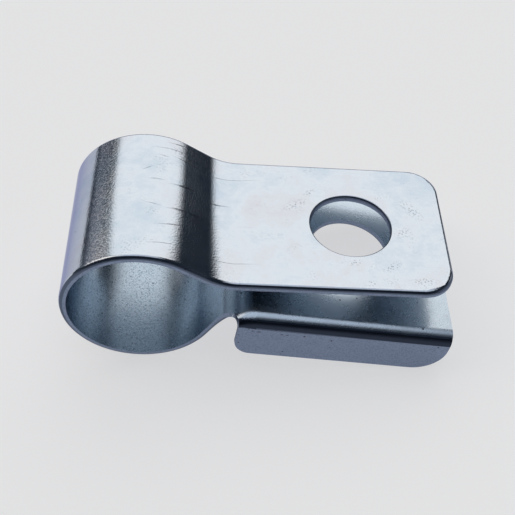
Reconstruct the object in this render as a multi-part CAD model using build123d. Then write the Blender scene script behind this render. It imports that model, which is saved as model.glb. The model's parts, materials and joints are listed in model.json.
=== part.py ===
from build123d import *
import os
from math import asin, cos, hypot, radians, sin, sqrt, tan

os.makedirs("parts", exist_ok=True)

# Driving sizes, in millimetres and degrees. The pipe runs along Y, the flat upper leg reaches along +X.

# Strap
strip_width = 19.0
sheet_thickness = 0.8
pipe_bore_radius = 7.8
outline_roll_radius = 0.55

# Upper leg, which lies level
upper_shoulder_angle = 31.8
upper_shoulder_length = 3.0
upper_bend_inside_radius = 6.6
upper_leg_reach = 34.0
leg_corner_radius = 3.5

# Lower leg, which spreads away from the upper one until the bolt draws it shut
leg_spread_angle = 5.2
lower_shoulder_angle = 59.3
lower_shoulder_length = 4.4
lower_bend_inside_radius = 3.2
lower_leg_reach = 34.4

# Bolt holes, measured along X from the pipe's axis
bolt_hole_diameter = 9.1
hole_roll_radius = 0.3
upper_hole_distance = 23.15
lower_hole_distance = 23.6

# Side flanges, which make the lower leg a channel; each stands out past the strip's edge, and its heel
# lies beside the knee, set back from the leg's start
flange_step_out = 2.3
flange_depth = 5.85
flange_bend_inside_radius = 0.65
flange_heel_setback = 1.9
flange_heel_radius = 1.9
flange_toe_radius = 3.5

# Round notch between the strip's edge and the heel of a flange
notch_radius = 2.5

# Least flat height a flange keeps between its bend and a rounded corner
least_flat = 0.1

# Derived sizes
half_width = strip_width / 2
half_sheet = sheet_thickness / 2
loop_mid_radius = pipe_bore_radius + half_sheet
flange_bend_outside_radius = flange_bend_inside_radius + sheet_thickness
half_channel = half_width + flange_step_out
web_half_width = half_channel - flange_bend_outside_radius
spread = radians(leg_spread_angle)


class SideLine:
    """The joints of one face of the strap in the side view, from the loop out to a leg.

    The leg is taken as lying above the pipe; offset is counted from the middle of the sheet
    and is positive on the outside of the loop.
    """

    def __init__(self, offset, turn, straight, inside_radius, tilt):
        self.turn = turn
        self.tilt = tilt
        self.loop_radius = loop_mid_radius + offset
        self.bend_radius = inside_radius + half_sheet - offset
        self.leave_loop = (self.loop_radius * sin(turn), self.loop_radius * cos(turn))
        self.enter_bend = (
            self.leave_loop[0] + straight * cos(turn),
            self.leave_loop[1] - straight * sin(turn),
        )
        self.bend_centre = (
            self.enter_bend[0] + self.bend_radius * sin(turn),
            self.enter_bend[1] + self.bend_radius * cos(turn),
        )
        self.leave_bend = self.on_bend(-tilt)

    def on_bend(self, angle):
        return (
            self.bend_centre[0] - self.bend_radius * sin(angle),
            self.bend_centre[1] - self.bend_radius * cos(angle),
        )

    def bend_angle(self, before):
        """Angle of the bend's point the given distance before the leg's start."""
        return asin(before / self.bend_radius) - self.tilt


def upper_side(offset):
    return SideLine(
        offset, radians(upper_shoulder_angle), upper_shoulder_length, upper_bend_inside_radius, 0
    )


def lower_side(offset):
    return SideLine(
        offset, radians(lower_shoulder_angle), lower_shoulder_length, lower_bend_inside_radius, spread
    )


def below(point):
    return (point[0], -point[1])


# The lower leg's own frame: origin on the web's upper face where the knee's bend ends,
# X along the leg, Z square to the web.
web_top = lower_side(-half_sheet)
web_underside = lower_side(half_sheet)
leg_origin = below(web_top.leave_bend)
leg_frame = Plane(
    origin=(leg_origin[0], 0, leg_origin[1]),
    x_dir=(cos(spread), 0, -sin(spread)),
    z_dir=(sin(spread), 0, cos(spread)),
)
leg_length = (lower_leg_reach - leg_origin[0]) / cos(spread)
heel_start = -flange_heel_setback
notch_centre_y = half_width + notch_radius
root_start = heel_start - notch_radius + sqrt(notch_radius**2 - (notch_centre_y - web_half_width) ** 2)


def sink(radius, along):
    """How far a bend of the given radius has left its tangent at the given distance along it."""
    return radius - sqrt(radius**2 - along**2)


# Below the seam the flanges are plain plates; above it lies the bend, which the knee pulls down.
seam_depth = flange_bend_outside_radius + sink(web_top.bend_radius, root_start) + least_flat
heel_depth = flange_depth - seam_depth


def half_way(first, second):
    return (first + second) / 2


def strap_edges(offset):
    """One face of the strap in the side view, from the upper leg's end round the loop to the knee."""
    up = upper_side(offset)
    low = lower_side(offset)
    stop = low.bend_angle(-root_start)
    return [
        Line((upper_leg_reach, up.leave_bend[1]), up.leave_bend),
        ThreePointArc(up.leave_bend, up.on_bend(half_way(up.turn, 0)), up.enter_bend),
        Line(up.enter_bend, up.leave_loop),
        ThreePointArc(up.leave_loop, (-up.loop_radius, 0), below(low.leave_loop)),
        Line(below(low.leave_loop), below(low.enter_bend)),
        ThreePointArc(
            below(low.enter_bend), below(low.on_bend(half_way(low.turn, stop))), below(low.on_bend(stop))
        ),
    ]


def closed_face(outer, inner):
    start = Line(outer[0] @ 0, inner[0] @ 0)
    end = Line(outer[-1] @ 1, inner[-1] @ 1)
    return Plane.XZ * make_face([*outer, end, *inner, start])


outer_edges = strap_edges(half_sheet)
inner_edges = strap_edges(-half_sheet)
strap = extrude(closed_face(outer_edges, inner_edges), amount=half_width, both=True)

# Knee, made as wide as the channel so that the notches can be rounded out of it
knee = extrude(closed_face(outer_edges[-2:], inner_edges[-2:]), amount=half_channel, both=True)


def quarter_arc(centre, reach, rise):
    """A quarter of an ellipse, or of a circle, from beside its centre to above it."""
    if abs(abs(reach) - rise) < 0.001:
        slant = sqrt(0.5)
        side = (centre[0] + reach, centre[1])
        middle = (centre[0] + reach * slant, centre[1] + rise * slant)
        return ThreePointArc(side, middle, (centre[0], centre[1] + rise))
    return EllipticalCenterArc(centre, abs(reach), rise, start_angle=0 if reach > 0 else 90, arc_size=90)


def channel_section(along, foot):
    """The channel's section the given distance along the leg, down to the given height below the web.

    Before the leg's start the web sinks with the knee, while the flanges stay straight.
    """
    top_drop = sink(web_top.bend_radius, along)
    under_drop = sink(web_underside.bend_radius, along)
    top = -top_drop
    under = -sheet_thickness - under_drop
    outer_spring = -flange_bend_outside_radius
    inner_spring = outer_spring - top_drop
    y_out = half_channel
    y_in = half_channel - sheet_thickness
    y_web = web_half_width
    bend = []
    for side in (1, -1):
        outer_centre = (side * y_web, outer_spring)
        inner_centre = (side * y_web, inner_spring)
        bend += [
            quarter_arc(outer_centre, side * flange_bend_outside_radius, top - outer_spring),
            quarter_arc(inner_centre, side * flange_bend_inside_radius, under - inner_spring),
            Polyline(
                (side * y_out, outer_spring),
                (side * y_out, foot),
                (side * y_in, foot),
                (side * y_in, inner_spring),
            ),
        ]
    web = [Line((-y_web, top), (y_web, top)), Line((-y_web, under), (y_web, under))]
    plane = Plane(leg_frame.from_local_coords((along, 0, 0)), x_dir=(0, 1, 0), z_dir=leg_frame.x_dir)
    return plane * make_face([*bend, *web])


# Root, where the sinking web and the straight flanges grow into each other
root_steps = [root_start * step / 3 for step in (3, 2, 1, 0)]
root = loft([channel_section(along, -flange_depth) for along in root_steps])
below_seam = Pos(0, 0, -seam_depth - flange_depth) * Box(
    4 * half_channel, 4 * half_channel, 2 * flange_depth
)
heel = Pos(root_start / 2, half_channel - half_sheet, -seam_depth - heel_depth / 2) * Box(
    -root_start, sheet_thickness, heel_depth
)
heels = [leg_frame * heel, mirror(leg_frame * heel, Plane.XZ)]
root = root - leg_frame * below_seam + heels

# Notches between the strip's edges and the heels of the flanges, open towards the loop
notch_back = -2 * pipe_bore_radius
notch_side = make_face(
    [
        Line((notch_back, half_width), (heel_start - notch_radius, half_width)),
        RadiusArc((heel_start - notch_radius, half_width), (heel_start, notch_centre_y), -notch_radius),
        Polyline(
            (heel_start, notch_centre_y),
            (heel_start, 2 * half_channel),
            (notch_back, 2 * half_channel),
            (notch_back, half_width),
        ),
    ]
)
notch = leg_frame * extrude(notch_side, amount=2 * pipe_bore_radius, both=True)
notches = [notch, mirror(notch, Plane.XZ)]

# Channel of the lower leg, notched at the knee and rounded at both ends of its flanges
channel = extrude(channel_section(0, -flange_depth), amount=leg_length, dir=leg_frame.x_dir)
channel = channel + (knee - notches) + (root - notches)


def foot_edges(along):
    """The short edges across both flanges' feet at the given distance along the leg."""
    middle = half_channel - half_sheet
    ends = [leg_frame.from_local_coords((along, y, -flange_depth)) for y in (middle, -middle)]
    return [channel.edges().sort_by_distance(end)[0] for end in ends]


channel = fillet(foot_edges(heel_start), min(flange_heel_radius, heel_depth - least_flat))
plate_depth = flange_depth - flange_bend_outside_radius
channel = fillet(foot_edges(leg_length), min(flange_toe_radius, plate_depth - least_flat))
clamp = strap + channel

# Rounded corners of the upper leg
upper_leg_top = upper_side(half_sheet).leave_bend[1]
leg_corners = clamp.edges().filter_by(Axis.Z).filter_by_position(
    Axis.X, upper_leg_reach - 0.001, upper_leg_reach + 0.001
)
clamp = fillet(leg_corners, leg_corner_radius)

# Bolt holes, each square to its own leg
hole_radius = bolt_hole_diameter / 2
lower_hole_along = (lower_hole_distance - leg_origin[0]) / cos(spread)
clamp -= Pos(upper_hole_distance, 0, upper_leg_top) * Cylinder(hole_radius, 4 * sheet_thickness)
clamp -= leg_frame * Pos(lower_hole_along, 0, 0) * Cylinder(hole_radius, 4 * sheet_thickness)

# The punch rolls over every edge of the sheet's outer side, round the whole outline and both holes.
# The roll is three flats that touch its arc, cut one below the other, from the outer side down.
flat_turn = radians(90) / 4
upper_normal = Vector(0, 0, 1)
lower_normal = -leg_frame.z_dir
leg_end = Vector(upper_leg_reach, 0, upper_leg_top)
upper_rim = Vector(upper_hole_distance, hole_radius, upper_leg_top)
lower_rim = leg_frame.from_local_coords((lower_hole_along, hole_radius, -sheet_thickness))

# A point on each edge, the outer side's normal there, the way into the sheet and the roll's radius
rolled_edges = [
    (leg_end, upper_normal, Vector(-1, 0, 0), outline_roll_radius),
    (upper_rim, upper_normal, Vector(0, 1, 0), hole_roll_radius),
    (lower_rim, lower_normal, Vector(0, 1, 0), hole_roll_radius),
]


def roll_corner(radius, turn):
    """Where two flats meet: how far in from the cut side, and how far down from the outer side."""
    corner_radius = radius / cos(flat_turn / 2)
    return (radius - corner_radius * sin(turn), radius - corner_radius * cos(turn))


for point, normal, inwards, roll_radius in rolled_edges:
    depth = 0
    for flat in (1, 2, 3):
        inset, drop = roll_corner(roll_radius, flat_turn * (flat - 0.5))
        next_depth = drop + inset * tan(flat_turn * flat)
        edge = clamp.edges().sort_by_distance(point - normal * depth)[0]
        on_face_above = point + inwards * inset / 2 - normal * half_way(depth, drop)
        face_above = clamp.faces().sort_by_distance(on_face_above)[0]
        clamp = chamfer(edge, hypot(inset, drop - depth), next_depth - depth, reference=face_above)
        depth = next_depth

export_step(clamp, "parts/clamp_strap.step")
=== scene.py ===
"""Looks of the single hole pipe clamp: folded steel strap, zinc plated, on a pale studio floor."""

from __future__ import annotations

import json
import logging
from dataclasses import dataclass, field
from enum import Enum
from math import atan2, cos, degrees, hypot, pi, radians, sin

import bpy
from mathutils import Matrix, Vector
from mathutils.kdtree import KDTree

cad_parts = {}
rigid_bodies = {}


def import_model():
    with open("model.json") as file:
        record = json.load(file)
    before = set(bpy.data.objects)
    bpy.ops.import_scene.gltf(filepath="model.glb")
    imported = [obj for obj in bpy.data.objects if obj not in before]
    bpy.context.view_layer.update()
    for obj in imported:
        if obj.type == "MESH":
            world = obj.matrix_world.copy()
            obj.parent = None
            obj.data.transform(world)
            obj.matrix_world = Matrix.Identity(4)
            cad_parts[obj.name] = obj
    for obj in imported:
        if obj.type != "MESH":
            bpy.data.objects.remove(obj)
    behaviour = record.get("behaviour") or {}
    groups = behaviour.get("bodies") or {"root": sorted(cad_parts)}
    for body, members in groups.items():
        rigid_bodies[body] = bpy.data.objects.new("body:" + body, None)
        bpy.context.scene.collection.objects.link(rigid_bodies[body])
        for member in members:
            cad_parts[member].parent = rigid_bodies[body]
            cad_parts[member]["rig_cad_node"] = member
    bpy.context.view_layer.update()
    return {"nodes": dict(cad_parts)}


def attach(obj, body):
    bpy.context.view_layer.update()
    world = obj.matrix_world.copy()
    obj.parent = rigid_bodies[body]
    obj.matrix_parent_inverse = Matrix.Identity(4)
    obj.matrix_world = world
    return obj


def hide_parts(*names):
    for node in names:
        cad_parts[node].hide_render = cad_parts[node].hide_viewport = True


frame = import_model()

log = logging.getLogger("pipe_clamp")

MM = 0.001

# The photograph's width in pixels, and the width of the camera's sensor in millimetres
PICTURE_WIDTH = 515
SENSOR_WIDTH = 36.0


class Socket(Enum):
    """Inputs of the metal shader that the finishes set or link."""

    COLOUR = "Base Color"
    METALLIC = "Metallic"
    ROUGHNESS = "Roughness"
    NORMAL = "Normal"
    EDGE_TINT = "Specular Tint"


class Marking(Enum):
    """Values that the strap carries for its finish."""

    PLACE = "strip_place"
    SIDE = "strip_side"


class Side(Enum):
    """Finishes of the strap's faces, a step apart, from the bright outer side to the darkest fold; the
    roll's and the fold's dark tones are painted shade.
    """

    OUTER = 0.0
    INNER = 0.5
    CUT = 1.0
    ROLLED = 1.5
    FOLDED = 2.0


SIDE_STEP = Side.INNER.value - Side.OUTER.value


def linear(code: str) -> tuple[float, float, float, float]:
    """Turns an sRGB hex colour into Blender's linear one.

    Args:
        code: Six hex digits after a hash sign.

    Returns:
        Red, green, blue and an alpha of one.
    """
    channels = [int(code[i : i + 2], 16) / 255 for i in (1, 3, 5)]
    curve = [c / 12.92 if c <= 0.04045 else ((c + 0.055) / 1.055) ** 2.4 for c in channels]
    return (*curve, 1.0)


def add_node(
    tree: bpy.types.NodeTree, kind: str, settings: dict | None = None, links: dict | None = None
) -> bpy.types.Node:
    """Adds one node to a tree.

    Args:
        tree: The node tree.
        kind: Blender's name for the node's type.
        settings: Attributes of the node, and values of its inputs by name or number.
        links: Output sockets to link, by the name or number of the input.

    Returns:
        The new node.
    """
    node = tree.nodes.new(kind)
    for name, value in (settings or {}).items():
        if isinstance(name, str) and hasattr(node, name):
            setattr(node, name, value)
        else:
            node.inputs[name].default_value = value
    for name, output in (links or {}).items():
        tree.links.new(output, node.inputs[name])
    return node


def toward(azimuth: float, elevation: float) -> Vector:
    """Gives the direction to a place in the studio.

    Args:
        azimuth: Degrees from the far side, +Y, towards +X.
        elevation: Degrees above the level of the pipe.

    Returns:
        A unit vector.
    """
    turn = radians(azimuth)
    rise = radians(elevation)
    return Vector((cos(rise) * sin(turn), cos(rise) * cos(turn), sin(rise)))


def select_only(piece: bpy.types.Object) -> None:
    """Deselects everything and makes one piece the selected and active one.

    Args:
        piece: The piece to work on.
    """
    bpy.ops.object.select_all(action="DESELECT")
    piece.select_set(True)
    bpy.context.view_layer.objects.active = piece


@dataclass(frozen=True)
class Mark:
    """A line or spot on the strip, drawn as an ellipse that fades towards its rim.

    Both ends are given on the unrolled strip in millimetres: the distance from the upper leg's end,
    and the distance across from the strip's middle. The ellipse is longer by the share of its faded
    ends, and has its full strength over the full share in its middle.
    """

    start: tuple[float, float]
    end: tuple[float, float]
    width: float
    faded_ends: float = 0.15
    full_share: float = 0.2

    @property
    def centre(self) -> tuple[float, float, float]:
        """Its middle, in metres."""
        return tuple((a + b) / 2 * MM for a, b in zip(self.start, self.end)) + (0.0,)

    @property
    def half_sizes(self) -> tuple[float, float, float]:
        """Half its length with the faded ends and half its width, in metres."""
        run = hypot(self.end[0] - self.start[0], self.end[1] - self.start[1])
        return ((run * (1 + self.faded_ends) + self.width) / 2 * MM, self.width / 2 * MM, 1.0)

    @property
    def turn(self) -> float:
        """Its angle to the strip, in radians."""
        return atan2(self.end[1] - self.start[1], self.end[0] - self.start[0])


# Scratches of the bending tool on the loop's top and over the upper bend
TOOL_SCRATCHES = (
    Mark((34.2, 7.2), (30.2, 7.5), 0.2),
    Mark((33.6, 6.05), (32.4, 5.9), 0.17),
    Mark((32.0, 6.3), (27.0, 5.9), 0.24),
    Mark((30.0, 6.95), (26.9, 6.5), 0.16),
    Mark((32.7, 8.3), (30.4, 8.55), 0.18),
    Mark((34.5, 2.05), (32.8, 2.2), 0.2),
    Mark((32.2, 1.8), (29.0, 2.3), 0.28),
    Mark((35.2, 3.4), (34.1, 4.1), 0.18),
    Mark((34.6, -1.6), (33.0, -1.8), 0.18),
    Mark((32.4, -1.95), (29.8, -1.5), 0.28),
    Mark((30.1, -1.6), (27.6, -1.4), 0.18),
    Mark((27.2, 1.5), (24.6, 1.85), 0.22),
    Mark((33.5, -4.6), (30.6, -3.9), 0.2),
    Mark((27.1, 5.9), (21.2, 6.5), 0.14),
    Mark((26.8, -6.65), (21.2, -6.4), 0.14),
    Mark((34.1, -7.3), (31.6, -6.95), 0.17),
    Mark((44.7, 1.1), (43.6, 0.9), 0.14),
    Mark((43.2, -2.7), (42.8, -3.0), 0.18),
)

# Smudges on the upper leg, with one beside the scratches
SMUDGES = (
    Mark((17.9, 2.3), (16.1, 3.4), 1.5),
    Mark((15.6, 4.6), (15.0, 5.2), 1.1),
    Mark((4.4, 3.7), (2.9, 1.8), 1.9),
    Mark((7.4, -6.4), (6.2, -5.7), 1.3),
    Mark((11.2, -5.7), (10.4, -5.5), 1.1),
    Mark((9.8, -8.5), (9.0, -8.4), 0.9),
    Mark((5.4, -1.2), (4.6, -0.6), 1.5),
    Mark((31.6, 7.4), (30.0, 6.6), 1.8),
    Mark((2.4, -7.8), (4.6, -8.0), 1.2),
)

# Dark spots that stand out: pits inside the loop, and dirt at the near flange's heel
DARK_SPOTS = (
    Mark((55.1, -3.5), (55.1, -3.5), 0.34),
    Mark((56.4, -0.2), (56.4, -0.2), 0.34),
    Mark((55.5, -5.3), (55.5, -5.3), 0.32),
    Mark((66.1, -0.4), (66.1, -0.4), 0.34),
    Mark((63.2, -1.8), (63.2, -1.8), 0.32),
    Mark((77.2, -12.35), (77.35, -12.35), 0.26),
    Mark((77.8, -12.4), (78.1, -12.4), 0.3),
    Mark((80.4, -12.5), (80.6, -12.5), 0.26),
    Mark((81.0, -12.55), (81.2, -12.55), 0.22),
)


@dataclass(frozen=True)
class ZincPlate:
    """Electroplated zinc with a clear blue chromate over cold rolled steel.

    The outer side keeps the sheet's gloss, with an orange peel that breaks up each reflection at its
    edge, the marks of the bending tool, specks and smudges. The inner side and the cut faces took
    less current in the bath: they are greyer and duller, with small dark pits.
    """

    name: str = "zinc_plated_steel"

    # Outer side: near white zinc with bluish and rosy patches of chromate, violet on the loop's back
    body: str = "#CCD3DB"
    blue_bloom: str = "#BECAD5"
    rose_bloom: str = "#C9CBD2"
    violet: str = "#AFB4CA"
    violet_from: float = 43.0 * MM
    violet_to: float = 45.5 * MM
    bloom_size: float = 7.0 * MM
    bloom_edges: tuple[float, float, float] = (0.36, 0.5, 0.66)

    # Inner side: grained grey, with painted shade under the upper leg and painted light on the lower
    # leg's web
    inner: str = "#B3C1CE"
    inner_grain: str = "#7F8E9C"
    # Painted shade: a darker tone on the upper leg's underside, which the web below reflects
    underside_painted_shade: str = "#929FAC"
    underside_shade_from: float = 21.0 * MM
    underside_shade_to: float = 26.0 * MM
    # Painted light: a lighter tone on the lower leg's web
    web: str = "#CBD7E2"
    web_painted_light_from: float = 70.0 * MM
    web_painted_light_to: float = 77.0 * MM

    # Cut faces: matt slate grey; the darker tone on the punch's roll is painted shade, and the near
    # black one in the flanges' folds a painted dark reflection
    cut: str = "#828EA6"
    cut_grain: str = "#6F7A90"
    # Painted shade: the roll's darker tone stands in for the dark line along the sheet's edges
    rolled: str = "#5C6678"
    # Painted reflection: a near black tone in the flanges' folds stands in for the dark surroundings
    # they reflect
    folded: str = "#333A48"
    pepper_size: float = 0.16 * MM
    pepper_edges: tuple[float, float] = (0.3, 0.52)

    # Colour of the reflection at a glancing angle: lavender outside, neutral inside
    outer_edge: str = "#C0C4E1"
    inner_edge: str = "#D2D6DE"

    # Lowest and highest roughness of each side, which change in patches
    gloss: tuple[float, float] = (0.10, 0.15)
    inner_gloss: tuple[float, float] = (0.24, 0.31)
    cut_gloss: tuple[float, float] = (0.3, 0.37)
    patch_size: float = 2.5 * MM
    patch_edges: tuple[float, float] = (0.3, 0.7)

    # Orange peel, drawn coarser than the steel's own grains of about 0.05 mm, which wouldn't show
    peel_size: float = 0.21 * MM
    peel_height: float = 0.0085 * MM
    stretched_peel_height: float = 0.02 * MM
    stretched_from: float = 38.0 * MM
    stretched_to: float = 40.6 * MM
    stretched_fade: tuple[float, float] = (0.65, 1.15)
    stretched_roughness: float = 0.35
    frosted_edges: tuple[float, float] = (0.37, 0.66)

    # Dark dirt in scratches, pits and specks, and how strongly each shows
    stain: str = "#3E464F"
    scratch_strength: float = 0.46
    pit_strength: float = 0.9
    speck_strength: float = 0.62

    # Scratches of the bending tool, which waver and break off, and the faint lines of the rolling mill
    tool_scratches: tuple[Mark, ...] = TOOL_SCRATCHES
    scratch_depth: float = 0.006 * MM
    waver_size: float = 0.8 * MM
    waver_reach: float = 0.12 * MM
    worn_size: float = 0.5 * MM
    worn_edges: tuple[float, float] = (0.28, 0.46)
    mill_line_length: float = 6.0 * MM
    mill_line_width: float = 0.3 * MM
    mill_line_edges: tuple[float, float] = (0.58, 0.78)
    mill_line_strength: float = 0.1

    # Pits of the inner side: one in each cell of the pattern, save for a share that is left empty
    dark_spots: tuple[Mark, ...] = DARK_SPOTS
    pit_spacing: float = 1.0 * MM
    pit_radius: float = 0.13 * MM
    pitless_share: float = 0.45

    # Grey specks, which gather in smudges and in scattered patches
    smudges: tuple[Mark, ...] = SMUDGES
    speck_spacing: float = 0.34 * MM
    speck_radius: float = 0.13 * MM
    speck_patch_size: float = 3.2 * MM
    speck_patch_edges: tuple[float, float] = (0.56, 0.72)
    speck_patch_strength: float = 0.6

    def build(self) -> bpy.types.Material:
        """Makes the material.

        Returns:
            The finished material.
        """
        material = bpy.data.materials.new(self.name)
        material.use_nodes = True
        tree = material.node_tree
        tree.nodes.clear()
        place = add_node(tree, "ShaderNodeTexCoord").outputs["Object"]
        strip = add_node(
            tree, "ShaderNodeAttribute", {"attribute_name": Marking.PLACE.value}
        ).outputs["Vector"]
        side = add_node(
            tree, "ShaderNodeAttribute", {"attribute_name": Marking.SIDE.value}
        ).outputs["Fac"]
        dull = add_node(
            tree, "ShaderNodeMath", {"operation": "GREATER_THAN", 1: Side.INNER.value / 2}, {0: side}
        ).outputs[0]
        shader = add_node(tree, "ShaderNodeBsdfPrincipled", {Socket.METALLIC.value: 1.0})
        add_node(tree, "ShaderNodeOutputMaterial", links={"Surface": shader.outputs[0]})
        scratched = self.scratches(tree, strip, dull)
        stretched = self.stretched(tree, strip)
        stains = (
            (scratched, self.scratch_strength),
            (self.pits(tree, place, strip, dull), self.pit_strength),
            (self.specks(tree, strip), self.speck_strength),
        )
        colour = self.colour(tree, place, strip, side)
        for share, strength in stains:
            amount = add_node(
                tree, "ShaderNodeMath", {"operation": "MULTIPLY", 1: strength}, {0: share}
            )
            colour = add_node(
                tree,
                "ShaderNodeMix",
                {"data_type": "RGBA", "B": linear(self.stain)},
                {"Factor": amount.outputs[0], "A": colour},
            ).outputs["Result"]
        edge = add_node(
            tree,
            "ShaderNodeMix",
            {"data_type": "RGBA", "A": linear(self.outer_edge), "B": linear(self.inner_edge)},
            {"Factor": dull},
        ).outputs["Result"]
        finish = {
            Socket.COLOUR: colour,
            Socket.EDGE_TINT: edge,
            Socket.ROUGHNESS: self.roughness(tree, place, side, stretched),
            Socket.NORMAL: self.relief(tree, place, stretched, scratched),
        }
        for socket, output in finish.items():
            tree.links.new(output, shader.inputs[socket.value])
        return material

    def colour(
        self,
        tree: bpy.types.NodeTree,
        place: bpy.types.NodeSocket,
        strip: bpy.types.NodeSocket,
        side: bpy.types.NodeSocket,
    ) -> bpy.types.NodeSocket:
        """Blends the colours of the sides one over the other, from the outer side to the folds; the
        roll's and the folds' dark tones are painted shade.

        Args:
            tree: The material's node tree.
            place: The piece's own coordinates.
            strip: The place on the unrolled strip.
            side: The finish of the face, as a value of Side or between two.

        Returns:
            The colour output.
        """
        along = add_node(tree, "ShaderNodeSeparateXYZ", links={0: strip}).outputs["X"]
        grains = add_node(
            tree,
            "ShaderNodeTexNoise",
            {"Scale": 1 / self.pepper_size, "Detail": 1.0, "Roughness": 0.5},
            {"Vector": place},
        ).outputs["Fac"]
        mixed = self.bloom(tree, place, along)
        layers = (
            (Side.OUTER, self.inner_tone(tree, grains, along)),
            (Side.INNER, self.grained(tree, grains, self.cut_grain, self.cut)),
        )
        for start, tone in layers:
            mixed = add_node(
                tree,
                "ShaderNodeMix",
                {"data_type": "RGBA"},
                {"Factor": self.past(tree, side, start), "A": mixed, "B": tone},
            ).outputs["Result"]
        # Painted shade: the roll's darker tone, then the folds' near black painted reflection
        for start, tone in ((Side.CUT, self.rolled), (Side.ROLLED, self.folded)):
            mixed = add_node(
                tree,
                "ShaderNodeMix",
                {"data_type": "RGBA", "B": linear(tone)},
                {"Factor": self.past(tree, side, start), "A": mixed},
            ).outputs["Result"]
        return mixed

    def past(
        self, tree: bpy.types.NodeTree, side: bpy.types.NodeSocket, start: Side
    ) -> bpy.types.NodeSocket:
        """Measures how far a face's finish is past one side, towards the next.

        Args:
            tree: The material's node tree.
            side: The finish of the face.
            start: The side it is counted from.

        Returns:
            Zero up to that side, one from the next side on.
        """
        return add_node(
            tree,
            "ShaderNodeMapRange",
            {"From Min": start.value, "From Max": start.value + SIDE_STEP},
            {"Value": side},
        ).outputs["Result"]

    def bloom(
        self, tree: bpy.types.NodeTree, place: bpy.types.NodeSocket, along: bpy.types.NodeSocket
    ) -> bpy.types.NodeSocket:
        """Gives the outer side's colour: bluish and rosy patches, and violet on the loop's back.

        Args:
            tree: The material's node tree.
            place: The piece's own coordinates.
            along: The distance along the unrolled strip.

        Returns:
            The colour output.
        """
        patches = add_node(
            tree,
            "ShaderNodeTexNoise",
            {"Scale": 1 / self.bloom_size, "Detail": 7.0, "Roughness": 0.72},
            {"Vector": place},
        )
        ramp = add_node(tree, "ShaderNodeValToRGB", links={"Fac": patches.outputs["Fac"]})
        ramp.color_ramp.elements.new(self.bloom_edges[1])
        tones = (self.blue_bloom, self.body, self.rose_bloom)
        for element, edge, tone in zip(ramp.color_ramp.elements, self.bloom_edges, tones):
            element.position = edge
            element.color = linear(tone)
        back = add_node(
            tree,
            "ShaderNodeMapRange",
            {
                "interpolation_type": "SMOOTHSTEP",
                "From Min": self.violet_from,
                "From Max": self.violet_to,
            },
            {"Value": along},
        )
        return add_node(
            tree,
            "ShaderNodeMix",
            {"data_type": "RGBA", "B": linear(self.violet)},
            {"Factor": back.outputs["Result"], "A": ramp.outputs["Color"]},
        ).outputs["Result"]

    def inner_tone(
        self, tree: bpy.types.NodeTree, grains: bpy.types.NodeSocket, along: bpy.types.NodeSocket
    ) -> bpy.types.NodeSocket:
        """Gives the inner side's colour: painted shade under the upper leg, then painted light on the
        lower leg's web.

        Args:
            tree: The material's node tree.
            grains: The pattern of the grains.
            along: The distance along the unrolled strip.

        Returns:
            The colour output.
        """
        peppered = self.grained(tree, grains, self.inner_grain, self.inner)
        # Painted light: the lower leg's web is lighter
        web = add_node(
            tree,
            "ShaderNodeMapRange",
            {"From Min": self.web_painted_light_from, "From Max": self.web_painted_light_to},
            {"Value": along},
        )
        tone = add_node(
            tree,
            "ShaderNodeMix",
            {"data_type": "RGBA", "B": linear(self.web)},
            {"Factor": web.outputs["Result"], "A": peppered},
        )
        # Painted shade: darker under the upper leg
        past_underside_shade = add_node(
            tree,
            "ShaderNodeMapRange",
            {"From Min": self.underside_shade_from, "From Max": self.underside_shade_to},
            {"Value": along},
        )
        return add_node(
            tree,
            "ShaderNodeMix",
            {"data_type": "RGBA", "A": linear(self.underside_painted_shade)},
            {"Factor": past_underside_shade.outputs["Result"], "B": tone.outputs["Result"]},
        ).outputs["Result"]

    def grained(
        self, tree: bpy.types.NodeTree, grains: bpy.types.NodeSocket, dark: str, light: str
    ) -> bpy.types.NodeSocket:
        """Peppers a light tone with dark grains.

        Args:
            tree: The material's node tree.
            grains: The pattern of the grains.
            dark: The grains' sRGB hex colour.
            light: The sRGB hex colour between them.

        Returns:
            The colour output.
        """
        ramp = add_node(tree, "ShaderNodeValToRGB", links={"Fac": grains})
        for element, edge, tone in zip(ramp.color_ramp.elements, self.pepper_edges, (dark, light)):
            element.position = edge
            element.color = linear(tone)
        return ramp.outputs["Color"]

    def drawn(
        self, tree: bpy.types.NodeTree, strip: bpy.types.NodeSocket, marks: tuple[Mark, ...]
    ) -> bpy.types.NodeSocket:
        """Draws marks on the unrolled strip, each fading towards its rim.

        Args:
            tree: The material's node tree.
            strip: The place on the unrolled strip.
            marks: The marks.

        Returns:
            One in the middle of a mark, zero outside.
        """
        deepest = None
        for mark in marks:
            ellipse = add_node(
                tree,
                "ShaderNodeMapping",
                {
                    "vector_type": "TEXTURE",
                    "Location": mark.centre,
                    "Rotation": (0.0, 0.0, mark.turn),
                    "Scale": mark.half_sizes,
                },
                {"Vector": strip},
            )
            away = add_node(
                tree, "ShaderNodeVectorMath", {"operation": "LENGTH"}, {0: ellipse.outputs[0]}
            )
            depth = add_node(
                tree,
                "ShaderNodeMapRange",
                {"From Min": mark.full_share, "From Max": 1.0, "To Min": 1.0, "To Max": 0.0},
                {"Value": away.outputs["Value"]},
            ).outputs["Result"]
            if deepest is None:
                deepest = depth
            else:
                deepest = add_node(
                    tree, "ShaderNodeMath", {"operation": "MAXIMUM"}, {0: deepest, 1: depth}
                ).outputs[0]
        return deepest

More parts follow.
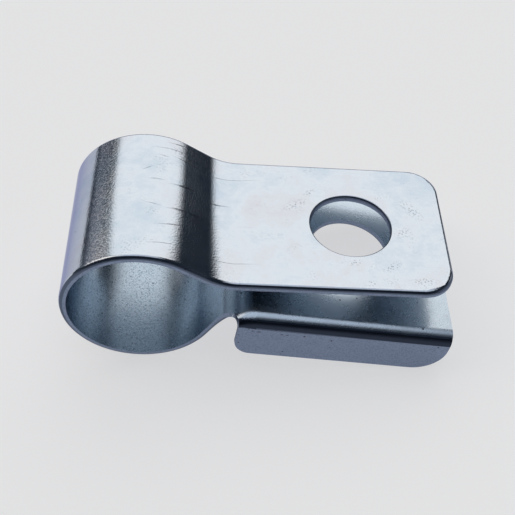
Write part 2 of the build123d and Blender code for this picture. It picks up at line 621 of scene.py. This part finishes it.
    def scratches(
        self, tree: bpy.types.NodeTree, strip: bpy.types.NodeSocket, dull: bpy.types.NodeSocket
    ) -> bpy.types.NodeSocket:
        """Draws the outer side's scratches and the faint lines of the rolling mill.

        Args:
            tree: The material's node tree.
            strip: The place on the unrolled strip.
            dull: One on the inner side and the cut faces, which have none.

        Returns:
            How deep a scratch is, from zero to one.
        """
        marked = self.drawn(tree, self.wavered(tree, strip), self.tool_scratches)
        worn = add_node(
            tree,
            "ShaderNodeTexNoise",
            {"Scale": 1 / self.worn_size, "Detail": 3.0, "Roughness": 0.7},
            {"Vector": strip},
        )
        kept = add_node(
            tree,
            "ShaderNodeMapRange",
            {"From Min": self.worn_edges[0], "From Max": self.worn_edges[1]},
            {"Value": worn.outputs["Fac"]},
        )
        broken = add_node(
            tree, "ShaderNodeMath", {"operation": "MULTIPLY"}, {0: marked, 1: kept.outputs["Result"]}
        )
        deepest = add_node(
            tree,
            "ShaderNodeMath",
            {"operation": "MAXIMUM"},
            {0: broken.outputs[0], 1: self.mill_lines(tree, strip)},
        )
        outside = add_node(tree, "ShaderNodeMath", {"operation": "SUBTRACT", 0: 1.0}, {1: dull})
        return add_node(
            tree,
            "ShaderNodeMath",
            {"operation": "MULTIPLY"},
            {0: deepest.outputs[0], 1: outside.outputs[0]},
        ).outputs[0]

    def wavered(self, tree: bpy.types.NodeTree, strip: bpy.types.NodeSocket) -> bpy.types.NodeSocket:
        """Shifts the strip's places a little to each side, so that a scratch isn't ruled.

        Args:
            tree: The material's node tree.
            strip: The place on the unrolled strip.

        Returns:
            The shifted place.
        """
        waver = add_node(
            tree, "ShaderNodeTexNoise", {"Scale": 1 / self.waver_size, "Detail": 2.0}, {"Vector": strip}
        )
        shift = add_node(
            tree,
            "ShaderNodeVectorMath",
            {
                "operation": "MULTIPLY_ADD",
                1: (0.0, self.waver_reach, 0.0),
                2: (0.0, -self.waver_reach / 2, 0.0),
            },
            {0: waver.outputs["Color"]},
        )
        return add_node(
            tree, "ShaderNodeVectorMath", {"operation": "ADD"}, {0: strip, 1: shift.outputs[0]}
        ).outputs[0]

    def mill_lines(
        self, tree: bpy.types.NodeTree, strip: bpy.types.NodeSocket
    ) -> bpy.types.NodeSocket:
        """Draws the faint lines that the rolling mill left along the strip.

        Args:
            tree: The material's node tree.
            strip: The place on the unrolled strip.

        Returns:
            How deep a line is.
        """
        drawn_out = add_node(
            tree,
            "ShaderNodeVectorMath",
            {"operation": "MULTIPLY", 1: (1 / self.mill_line_length, 1 / self.mill_line_width, 1.0)},
            {0: strip},
        )
        streaks = add_node(
            tree, "ShaderNodeTexNoise", {"Scale": 1.0, "Detail": 2.0}, {"Vector": drawn_out.outputs[0]}
        )
        return add_node(
            tree,
            "ShaderNodeMapRange",
            {
                "From Min": self.mill_line_edges[0],
                "From Max": self.mill_line_edges[1],
                "To Max": self.mill_line_strength,
            },
            {"Value": streaks.outputs["Fac"]},
        ).outputs["Result"]

    def pits(
        self,
        tree: bpy.types.NodeTree,
        place: bpy.types.NodeSocket,
        strip: bpy.types.NodeSocket,
        dull: bpy.types.NodeSocket,
    ) -> bpy.types.NodeSocket:
        """Scatters the small dark pits of the dull sides, and adds the spots that stand out there.

        Args:
            tree: The material's node tree.
            place: The piece's own coordinates.
            strip: The place on the unrolled strip.
            dull: One on the inner side and the cut faces.

        Returns:
            One in a pit, zero outside.
        """
        cells = add_node(
            tree, "ShaderNodeTexVoronoi", {"Scale": 1 / self.pit_spacing}, {"Vector": place}
        )
        chance = add_node(tree, "ShaderNodeSeparateColor", links={0: cells.outputs["Color"]})
        radius = add_node(
            tree,
            "ShaderNodeMapRange",
            {
                "From Min": self.pitless_share,
                "From Max": 1.0,
                "To Max": self.pit_radius / self.pit_spacing,
            },
            {"Value": chance.outputs[0]},
        )
        dots = add_node(
            tree,
            "ShaderNodeMath",
            {"operation": "LESS_THAN"},
            {0: cells.outputs["Distance"], 1: radius.outputs["Result"]},
        )
        darkest = add_node(
            tree,
            "ShaderNodeMath",
            {"operation": "MAXIMUM"},
            {0: dots.outputs[0], 1: self.drawn(tree, strip, self.dark_spots)},
        )
        return add_node(
            tree, "ShaderNodeMath", {"operation": "MULTIPLY"}, {0: darkest.outputs[0], 1: dull}
        ).outputs[0]

    def specks(self, tree: bpy.types.NodeTree, strip: bpy.types.NodeSocket) -> bpy.types.NodeSocket:
        """Gathers fine grey specks into smudges and scattered patches.

        Args:
            tree: The material's node tree.
            strip: The place on the unrolled strip.

        Returns:
            One in a speck, zero outside.
        """
        cells = add_node(
            tree,
            "ShaderNodeTexVoronoi",
            {"voronoi_dimensions": "2D", "Scale": 1 / self.speck_spacing},
            {"Vector": strip},
        )
        dots = add_node(
            tree,
            "ShaderNodeMapRange",
            {
                "From Min": 0.0,
                "From Max": self.speck_radius / self.speck_spacing,
                "To Min": 1.0,
                "To Max": 0.0,
            },
            {"Value": cells.outputs["Distance"]},
        )
        patches = add_node(
            tree,
            "ShaderNodeTexNoise",
            {"Scale": 1 / self.speck_patch_size, "Detail": 4.0, "Roughness": 0.6},
            {"Vector": strip},
        )
        scattered = add_node(
            tree,
            "ShaderNodeMapRange",
            {
                "From Min": self.speck_patch_edges[0],
                "From Max": self.speck_patch_edges[1],
                "To Max": self.speck_patch_strength,
            },
            {"Value": patches.outputs["Fac"]},
        )
        gathered = add_node(
            tree,
            "ShaderNodeMath",
            {"operation": "MAXIMUM"},
            {0: scattered.outputs["Result"], 1: self.drawn(tree, strip, self.smudges)},
        )
        return add_node(
            tree,
            "ShaderNodeMath",
            {"operation": "MULTIPLY"},
            {0: dots.outputs["Result"], 1: gathered.outputs[0]},
        ).outputs[0]

    def roughness(
        self,
        tree: bpy.types.NodeTree,
        place: bpy.types.NodeSocket,
        side: bpy.types.NodeSocket,
        stretched: bpy.types.NodeSocket,
    ) -> bpy.types.NodeSocket:
        """Varies the gloss in patches, lowers it on the dull sides and frosts the stretched grains.

        Args:
            tree: The material's node tree.
            place: The piece's own coordinates.
            side: The finish of the face, as a value of Side or between two.
            stretched: One where the sheet was stretched.

        Returns:
            The roughness output.
        """
        limits = []
        for outer, inner, cut in zip(self.gloss, self.inner_gloss, self.cut_gloss):
            limit = add_node(
                tree,
                "ShaderNodeMapRange",
                {
                    "From Min": Side.OUTER.value,
                    "From Max": Side.INNER.value,
                    "To Min": outer,
                    "To Max": inner,
                },
                {"Value": side},
            ).outputs["Result"]
            limit = add_node(
                tree,
                "ShaderNodeMapRange",
                {"From Min": Side.INNER.value, "From Max": Side.CUT.value, "To Max": cut},
                {"Value": side, "To Min": limit},
            ).outputs["Result"]
            limits.append(limit)
        patches = add_node(
            tree,
            "ShaderNodeTexNoise",
            {"Scale": 1 / self.patch_size, "Detail": 5.0, "Roughness": 0.65},
            {"Vector": place},
        )
        plain = add_node(
            tree,
            "ShaderNodeMapRange",
            {"From Min": self.patch_edges[0], "From Max": self.patch_edges[1]},
            {"Value": patches.outputs["Fac"], "To Min": limits[0], "To Max": limits[1]},
        )
        frosted = add_node(
            tree,
            "ShaderNodeMapRange",
            {"From Min": self.frosted_edges[0], "From Max": self.frosted_edges[1]},
            {"Value": self.peel(tree, place), "To Max": stretched},
        )
        return add_node(
            tree,
            "ShaderNodeMix",
            {"B": self.stretched_roughness},
            {"Factor": frosted.outputs["Result"], "A": plain.outputs["Result"]},
        ).outputs["Result"]

    def stretched(self, tree: bpy.types.NodeTree, strip: bpy.types.NodeSocket) -> bpy.types.NodeSocket:
        """Finds the part of the loop where the forming stretched the sheet most.

        Args:
            tree: The material's node tree.
            strip: The place on the unrolled strip.

        Returns:
            One there, zero elsewhere, with soft ends.
        """
        middle = (self.stretched_from + self.stretched_to) / 2
        half = self.stretched_to - middle
        along = add_node(tree, "ShaderNodeSeparateXYZ", links={0: strip}).outputs["X"]
        away = add_node(tree, "ShaderNodeMath", {"operation": "SUBTRACT", 1: middle}, {0: along})
        reach = add_node(tree, "ShaderNodeMath", {"operation": "ABSOLUTE"}, {0: away.outputs[0]})
        return add_node(
            tree,
            "ShaderNodeMapRange",
            {
                "interpolation_type": "SMOOTHSTEP",
                "From Min": half * self.stretched_fade[0],
                "From Max": half * self.stretched_fade[1],
                "To Min": 1.0,
                "To Max": 0.0,
            },
            {"Value": reach.outputs[0]},
        ).outputs["Result"]

    def peel(self, tree: bpy.types.NodeTree, place: bpy.types.NodeSocket) -> bpy.types.NodeSocket:
        """Gives the pattern of the orange peel's grains.

        Args:
            tree: The material's node tree.
            place: The piece's own coordinates.

        Returns:
            The pattern, highest in the middle of a grain.
        """
        return add_node(
            tree,
            "ShaderNodeTexNoise",
            {"Scale": 1 / self.peel_size, "Detail": 1.0, "Roughness": 0.5},
            {"Vector": place},
        ).outputs["Fac"]

    def relief(
        self,
        tree: bpy.types.NodeTree,
        place: bpy.types.NodeSocket,
        stretched: bpy.types.NodeSocket,
        scratched: bpy.types.NodeSocket,
    ) -> bpy.types.NodeSocket:
        """Raises the orange peel, highest where the sheet was stretched, and sinks the scratches.

        Args:
            tree: The material's node tree.
            place: The piece's own coordinates.
            stretched: One where the sheet was stretched.
            scratched: How deep a scratch is.

        Returns:
            The bumped normal.
        """
        height = add_node(
            tree,
            "ShaderNodeMapRange",
            {"To Min": self.peel_height, "To Max": self.stretched_peel_height},
            {"Value": stretched},
        )
        peeled = add_node(
            tree,
            "ShaderNodeBump",
            {"Strength": 1.0},
            {"Height": self.peel(tree, place), "Distance": height.outputs["Result"]},
        )
        return add_node(
            tree,
            "ShaderNodeBump",
            {"invert": True, "Strength": 1.0, "Distance": self.scratch_depth},
            {"Height": scratched, "Normal": peeled.outputs["Normal"]},
        ).outputs["Normal"]


@dataclass(frozen=True)
class FloorPaint:
    """Matt white paint of the studio floor, even and without gloss, which takes a soft shadow.

    To the camera and in the clamp's reflections a share of plain white lightens it.
    """

    name: str = "matt_floor"
    colour: str = "#F6F6F6"
    white_share: float = 0.58

    def build(self) -> bpy.types.Material:
        """Makes the material.

        Returns:
            The finished material.
        """
        material = bpy.data.materials.new(self.name)
        material.use_nodes = True
        tree = material.node_tree
        tree.nodes.clear()
        paint = add_node(
            tree,
            "ShaderNodeBsdfPrincipled",
            {"Base Color": linear(self.colour), "Roughness": 1.0, "Specular IOR Level": 0.0},
        )
        white = add_node(tree, "ShaderNodeEmission", {"Strength": 1.0})
        path = add_node(tree, "ShaderNodeLightPath")
        seen = path.outputs["Is Camera Ray"]
        for mirrored in ("Is Glossy Ray", "Is Transmission Ray"):
            seen = add_node(
                tree, "ShaderNodeMath", {"operation": "ADD"}, {0: seen, 1: path.outputs[mirrored]}
            ).outputs[0]
        share = add_node(
            tree, "ShaderNodeMath", {"operation": "MULTIPLY", 1: self.white_share}, {0: seen}
        )
        mixed = add_node(
            tree,
            "ShaderNodeMixShader",
            links={0: share.outputs[0], 1: paint.outputs[0], 2: white.outputs[0]},
        )
        add_node(tree, "ShaderNodeOutputMaterial", links={"Surface": mixed.outputs[0]})
        return material


@dataclass(frozen=True)
class StripStep:
    """A point of the sheet's middle in the side view, with its distance from the upper leg's end."""

    distance: float
    place: Vector
    heading: Vector

    @property
    def outward(self) -> Vector:
        """The way to the strip's outer side."""
        return Vector((self.heading.z, 0.0, -self.heading.x))


@dataclass(frozen=True)
class UnrolledStrip:
    """The folded strip laid flat again, so that marks can follow it round its bends.

    Its sizes are the part's own, along the middle of the sheet, and its angles are in degrees.
    """

    loop_radius: float = 8.2 * MM
    upper_turn: float = 31.8
    upper_shoulder: float = 3.0 * MM
    upper_bend_radius: float = 7.0 * MM
    upper_reach: float = 34.0 * MM
    lower_turn: float = 59.3
    lower_shoulder: float = 4.4 * MM
    lower_bend_radius: float = 3.6 * MM
    lower_length: float = 21.8 * MM
    spread: float = 5.2
    web_half_width: float = 10.35 * MM
    flange_bend_radius: float = 1.05 * MM
    # How far a face's normal goes along the outer side's: above the first it is the outer side, above
    # the second the punch's roll, and below the third the inner side
    outer_facing: float = 0.85
    rolled_facing: float = 0.1
    inner_facing: float = -0.5
    # Degrees round a flange's bend between which one tone turns into the next: into the fold's painted
    # dark reflection, then into the cut faces' tone, painted shade on the flange's outer face
    bend_sides_with_painted_shade: tuple[tuple[float, float, Side, Side], ...] = (
        (38.0, 50.0, Side.INNER, Side.FOLDED),
        (86.0, 89.0, Side.FOLDED, Side.CUT),
    )
    pace: float = 0.1 * MM

    def walk(self) -> list[StripStep]:
        """Follows the sheet's middle from the upper leg's end round the loop to the lower leg's end.

        Returns:
            The steps, a pace apart.
        """
        turn = radians(self.upper_turn)
        shoulder_end = Vector((sin(turn), 0, cos(turn))) * self.loop_radius
        shoulder_end += Vector((cos(turn), 0, -sin(turn))) * self.upper_shoulder
        bend_start = shoulder_end.x + self.upper_bend_radius * sin(turn)
        level = shoulder_end.z - self.upper_bend_radius * (1 - cos(turn))
        loop_turn = radians(self.upper_turn + 180 + self.lower_turn)
        knee_turn = radians(self.lower_turn + self.spread)
        runs = (
            (self.upper_reach - bend_start, 0.0),
            (self.upper_bend_radius * turn, -turn),
            (self.upper_shoulder, 0.0),
            (self.loop_radius * loop_turn, loop_turn),
            (self.lower_shoulder, 0.0),
            (self.lower_bend_radius * knee_turn, -knee_turn),
            (self.lower_length, 0.0),
        )
        place = Vector((self.upper_reach, 0, level))
        angle = pi
        distance = 0.0
        steps = []
        for length, bend in runs:
            count = round(length / self.pace)
            for _ in range(count):
                angle += bend / count / 2
                heading = Vector((cos(angle), 0, sin(angle)))
                steps.append(StripStep(distance, place.copy(), heading))
                place += heading * (length / count)
                angle += bend / count / 2
                distance += length / count
        return steps

    def mark(self, piece: bpy.types.Object) -> None:
        """Gives a mesh its places on the flat strip, and the finish of each face.

        Args:
            piece: The strap.
        """
        steps = self.walk()
        finder = KDTree(len(steps))
        for number, step in enumerate(steps):
            finder.insert(step.place, number)
        finder.balance()
        leg = steps[-1]
        mesh = piece.data
        places = mesh.attributes.new(Marking.PLACE.value, "FLOAT_VECTOR", "POINT")
        for vertex in mesh.vertices:
            if abs(vertex.co.y) > self.web_half_width:
                along, lean, drop = self.on_flange(vertex.co, leg)
                across = self.web_half_width + self.flange_bend_radius * lean + drop
                across = across if vertex.co.y > 0 else -across
                flat = (leg.distance + along, across, 0.0)
            else:
                step = steps[finder.find((vertex.co.x, 0, vertex.co.z))[1]]
                ahead = (vertex.co - step.place).dot(step.heading)
                flat = (step.distance + ahead, vertex.co.y, 0.0)
            places.data[vertex.index].vector = flat
        sides = mesh.attributes.new(Marking.SIDE.value, "FLOAT", "FACE")
        for face in mesh.polygons:
            lean = 0.0
            if abs(face.center.y) > self.web_half_width:
                lean = self.on_flange(face.center, leg)[1]
                turn = 1 if face.center.y > 0 else -1
                outward = leg.outward * cos(lean) - Vector((0, turn * sin(lean), 0))
            else:
                outward = steps[finder.find((face.center.x, 0, face.center.z))[1]].outward
            sides.data[face.index].value = self.side_of(face.normal.dot(outward), degrees(lean))

    def side_of(self, facing: float, lean: float) -> float:
        """Tells which side of the strip a face belongs to.

        Args:
            facing: One where it faces the strip's outer side, minus one where it faces the inner side.
            lean: How far round a flange's bend it is, in degrees.

        Returns:
            The value of a side, or one between two.
        """
        if facing > self.outer_facing:
            return Side.OUTER.value
        if facing < self.inner_facing:
            return self.side_and_painted_shade_on_bend(lean)
        # Faces on the punch's roll get the darker tone that paints shade along the edges
        if facing > self.rolled_facing:
            return Side.ROLLED.value
        return Side.CUT.value

    def side_and_painted_shade_on_bend(self, lean: float) -> float:
        """Gives the inner side's tone across a flange: bright, then a near black painted reflection in
        the fold, then the cut faces' darker tone as painted shade on the flange's outer face.

        Args:
            lean: How far round the flange's bend it is, in degrees.

        Returns:
            The value of a side, or one between two.
        """
        for first, last, before, after in self.bend_sides_with_painted_shade:
            if lean < last:
                share = max(0.0, (lean - first) / (last - first))
                return before.value + share * (after.value - before.value)
        # Painted shade: the flange's outer face takes the cut faces' darker tone
        return Side.CUT.value

    def on_flange(self, point: Vector, leg: StripStep) -> tuple[float, float, float]:
        """Finds a point of a flange on the folded lower leg.

        Args:
            point: The point.
            leg: The lower leg's last step.

        Returns:
            How far it is past the leg's last step, how far round the flange's bend it is, and how
            far down the flange beyond the bend.
        """
        offset = point - leg.place
        below = offset.dot(leg.outward) - self.flange_bend_radius
        if below > 0:
            return offset.dot(leg.heading), pi / 2, below
        return offset.dot(leg.heading), atan2(abs(point.y) - self.web_half_width, -below), 0.0


@dataclass
class ClampStrap:
    """The whole clamp: one folded strap."""

    node: str = "clamp_strap"
    slot: str = "zinc_plated_steel"
    merge_distance: float = 0.0005 * MM
    smooth_angle: float = 30.0
    flat_face_weight: int = 100
    strip: UnrolledStrip = field(default_factory=UnrolledStrip)
    finish: ZincPlate = field(default_factory=ZincPlate)

    def build(self) -> bpy.types.Object:
        """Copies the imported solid, shades its rolls and bends smooth, and dresses it.

        Returns:
            The finished piece.
        """
        select_only(frame["nodes"][self.node])
        bpy.ops.object.duplicate(linked=False)
        strap = bpy.context.active_object
        strap.name = "zinc_strap"
        strap.data.name = "zinc_strap"
        del strap["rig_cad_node"]
        strap.parent = None
        select_only(strap)
        bpy.ops.object.mode_set(mode="EDIT")
        bpy.ops.mesh.select_all(action="SELECT")
        bpy.ops.mesh.remove_doubles(threshold=self.merge_distance)
        bpy.ops.object.mode_set(mode="OBJECT")
        bpy.ops.mesh.customdata_custom_splitnormals_clear()
        bpy.ops.object.shade_smooth_by_angle(angle=radians(self.smooth_angle))
        evener = strap.modifiers.new("even_normals", "WEIGHTED_NORMAL")
        evener.keep_sharp = True
        evener.weight = self.flat_face_weight
        bpy.ops.object.modifier_apply(modifier=evener.name)
        self.strip.mark(strap)
        strap.data.materials.clear()
        strap.data.materials.append(self.finish.build())
        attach(strap, "root")
        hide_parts(self.node)
        return strap


@dataclass
class StudioFloor:
    """The plane the clamp lies on, tilted in degrees so that its loop and its flanges' toes touch it."""

    tilt: float = 5.34
    depth: float = 8.6 * MM
    reach: float = 6.0
    finish: FloorPaint = field(default_factory=FloorPaint)

    def build(self) -> bpy.types.Object:
        """Lays the floor and keeps it out of the part.

        Returns:
            The floor.
        """
        up = Vector((-sin(radians(self.tilt)), 0, cos(radians(self.tilt))))
        bpy.ops.object.select_all(action="DESELECT")
        bpy.ops.mesh.primitive_plane_add(size=2 * self.reach, location=-self.depth * up)
        floor = bpy.context.active_object
        floor.name = "studio_floor"
        floor.rotation_euler = (0, -radians(self.tilt), 0)
        bpy.ops.object.transform_apply(location=True, rotation=True, scale=True)
        floor.data.materials.append(self.finish.build())
        return floor


@dataclass(frozen=True)
class Softbox:
    """A soft light on the studio's dome, with its place, size and soft rim in degrees."""

    name: str
    azimuth: float
    elevation: float
    width: float
    height: float
    softness: float
    strength: float
    colour: str = "#FFFFFF"


@dataclass
class Studio:
    """Softboxes round the far side and overhead, and a dim room on the viewer's side."""

    room: str = "#232B34"
    boxes: tuple[Softbox, ...] = (
        Softbox("far_window", 0.5, 43.5, 81, 41, 9, 1.17, "#FFFEFC"),
        Softbox("left_wall", -58, 12, 34, 16, 14, 0.25, "#EAF0FF"),
        Softbox("left_key", -72, 41, 44, 44, 14, 1.4, "#FFF6EE"),
        Softbox("right_key", 90, 14, 60, 20, 10, 0.5, "#FAFAFF"),
        Softbox("ceiling", 0, 90, 400, 56, 12, 0.75, "#EAF2FF"),
        Softbox("viewer_wall", 180, 14, 170, 30, 16, 0.07, "#C8D6EA"),
    )

    def build(self) -> bpy.types.World:
        """Paints the softboxes on the world.

        Returns:
            The world.
        """
        world = bpy.data.worlds.new("studio")
        bpy.context.scene.world = world
        world.use_nodes = True
        tree = world.node_tree
        tree.nodes.clear()
        direction = add_node(tree, "ShaderNodeTexCoord").outputs["Generated"]
        total = add_node(
            tree, "ShaderNodeBackground", {"Color": linear(self.room), "Strength": 1.0}
        )
        for box in self.boxes:
            lit = add_node(
                tree,
                "ShaderNodeBackground",
                {"Color": linear(box.colour)},
                {"Strength": self.mask(tree, direction, box)},
            )
            total = add_node(
                tree, "ShaderNodeAddShader", links={0: total.outputs[0], 1: lit.outputs[0]}
            )
        add_node(tree, "ShaderNodeOutputWorld", links={"Surface": total.outputs[0]})
        return world

    def mask(
        self, tree: bpy.types.NodeTree, direction: bpy.types.NodeSocket, box: Softbox
    ) -> bpy.types.NodeSocket:
        """Gives a softbox's strength in each direction.

        Args:
            tree: The world's node tree.
            direction: The direction of the light.
            box: The softbox.

        Returns:
            Its strength, zero outside it.
        """
        parts = {}
        for name, axis in (
            ("side", toward(box.azimuth + 90, 0)),
            ("ahead", toward(box.azimuth, 0)),
            ("up", Vector((0, 0, 1))),
        ):
            settings = {"operation": "DOT_PRODUCT", 1: axis}
            part = add_node(tree, "ShaderNodeVectorMath", settings, {0: direction})
            parts[name] = part.outputs["Value"]
        turned = add_node(
            tree, "ShaderNodeMath", {"operation": "ARCTAN2"}, {0: parts["side"], 1: parts["ahead"]}
        )
        rise = add_node(tree, "ShaderNodeMath", {"operation": "ARCSINE"}, {0: parts["up"]})
        lifted = add_node(
            tree,
            "ShaderNodeMath",
            {"operation": "SUBTRACT", 1: radians(box.elevation)},
            {0: rise.outputs[0]},
        )
        shares = []
        for angle, size in ((turned, box.width), (lifted, box.height)):
            away = add_node(tree, "ShaderNodeMath", {"operation": "ABSOLUTE"}, {0: angle.outputs[0]})
            limits = {
                "interpolation_type": "SMOOTHSTEP",
                "From Min": radians((size - box.softness) / 2),
                "From Max": radians((size + box.softness) / 2),
                "To Min": 1.0,
                "To Max": 0.0,
            }
            shares.append(add_node(tree, "ShaderNodeMapRange", limits, {"Value": away.outputs[0]}))
        within = add_node(
            tree,
            "ShaderNodeMath",
            {"operation": "MULTIPLY"},
            {0: shares[0].outputs["Result"], 1: shares[1].outputs["Result"]},
        )
        return add_node(
            tree, "ShaderNodeMath", {"operation": "MULTIPLY", 1: box.strength}, {0: within.outputs[0]}
        ).outputs[0]


@dataclass
class PhotoCamera:
    """The camera at the photograph's viewing angle, fitted to the outlines in it. Angles in degrees."""

    azimuth: float = -6.4351
    elevation: float = 48.4042
    roll: float = -7.2391
    distance: float = 108.33 * MM
    focal_pixels: float = 928.0635
    target: tuple[float, float, float] = (13.127 * MM, 0.0, -1.450 * MM)
    nearest: float = 5.0 * MM
    farthest: float = 50.0

    def build(self) -> bpy.types.Object:
        """Makes the camera and gives it to the scene.

        Returns:
            The camera.
        """
        bpy.ops.object.camera_add()
        camera = bpy.context.active_object
        camera.name = "photo_camera"
        camera.data.sensor_width = SENSOR_WIDTH
        camera.data.lens = self.focal_pixels * SENSOR_WIDTH / PICTURE_WIDTH
        camera.data.clip_start = self.nearest
        camera.data.clip_end = self.farthest
        turn = radians(self.azimuth)
        rise = radians(self.elevation)
        ahead = Vector((-sin(turn) * cos(rise), cos(turn) * cos(rise), -sin(rise)))
        level = Vector((cos(turn), sin(turn), 0))
        down = ahead.cross(level)
        lean = radians(self.roll)
        right = cos(lean) * level + sin(lean) * down
        drop = cos(lean) * down - sin(lean) * level
        turned = Matrix((right, -drop, -ahead)).transposed().to_4x4()
        eye = Vector(self.target) - ahead * self.distance
        camera.matrix_world = Matrix.Translation(eye) @ turned
        bpy.context.scene.camera = camera
        return camera


def main() -> None:
    """Builds the clamp and its studio in order and reports each piece."""
    logging.basicConfig(level=logging.INFO, format="%(name)s: %(message)s")
    bpy.context.scene.view_settings.view_transform = "Standard"
    camera = PhotoCamera().build()
    log.info("%s with a view of %.1f degrees", camera.name, degrees(camera.data.angle))
    strap = ClampStrap().build()
    log.info("%s with %d triangles", strap.name, len(strap.data.polygons))
    floor = StudioFloor().build()
    log.info("%s laid", floor.name)
    world = Studio().build()
    log.info("%s lit", world.name)


if __name__ == "__main__":
    main()
